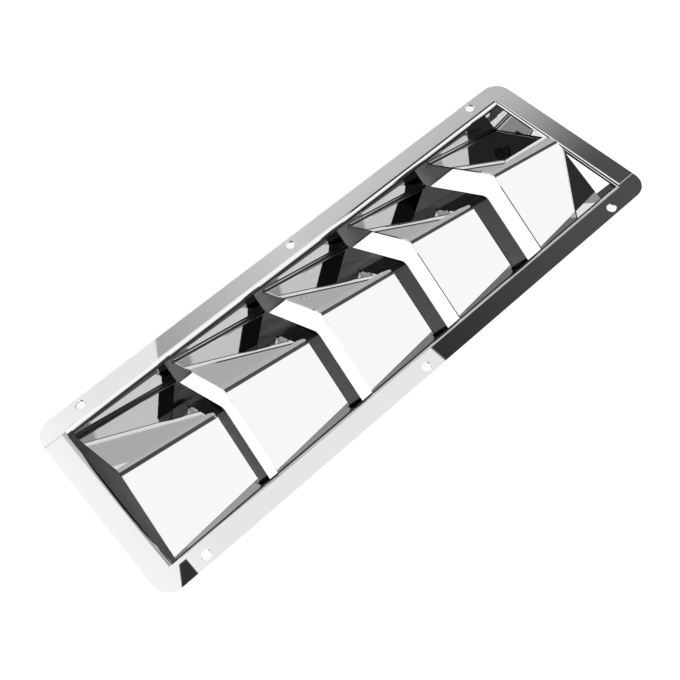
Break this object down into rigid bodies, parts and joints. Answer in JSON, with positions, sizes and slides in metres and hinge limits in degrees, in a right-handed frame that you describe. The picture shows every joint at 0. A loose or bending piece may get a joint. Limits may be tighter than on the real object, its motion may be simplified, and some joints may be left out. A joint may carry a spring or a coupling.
{
  "type": "louvred vent panel",
  "caption": "Rectangular mirror-polished sheet metal vent panel: a flanged frame of angle strips holding a row of bent louvre blades, each open at its raised end.",
  "frame": {"origin": "centre of the screw pattern on the back plane of the flange", "axes": "+X along the panel, the way the blades fall; +Z out of the panel's face"},
  "size_m": [0.325, 0.112, 0.0431],
  "materials": {
    "polished_flange": "mirror-polished stainless steel",
    "polished_blade": "mirror-polished stainless steel"
  },
  "bodies": {
    "root": {"side_strip_left": "polished_flange", "side_strip_right": "polished_flange", "end_strip_near": "polished_flange", "end_strip_far": "polished_flange", "louvre_blade_1": "polished_blade", "louvre_blade_2": "polished_blade", "louvre_blade_3": "polished_blade", "louvre_blade_4": "polished_blade", "louvre_blade_5": "polished_blade"}
  },
  "joints": []
}
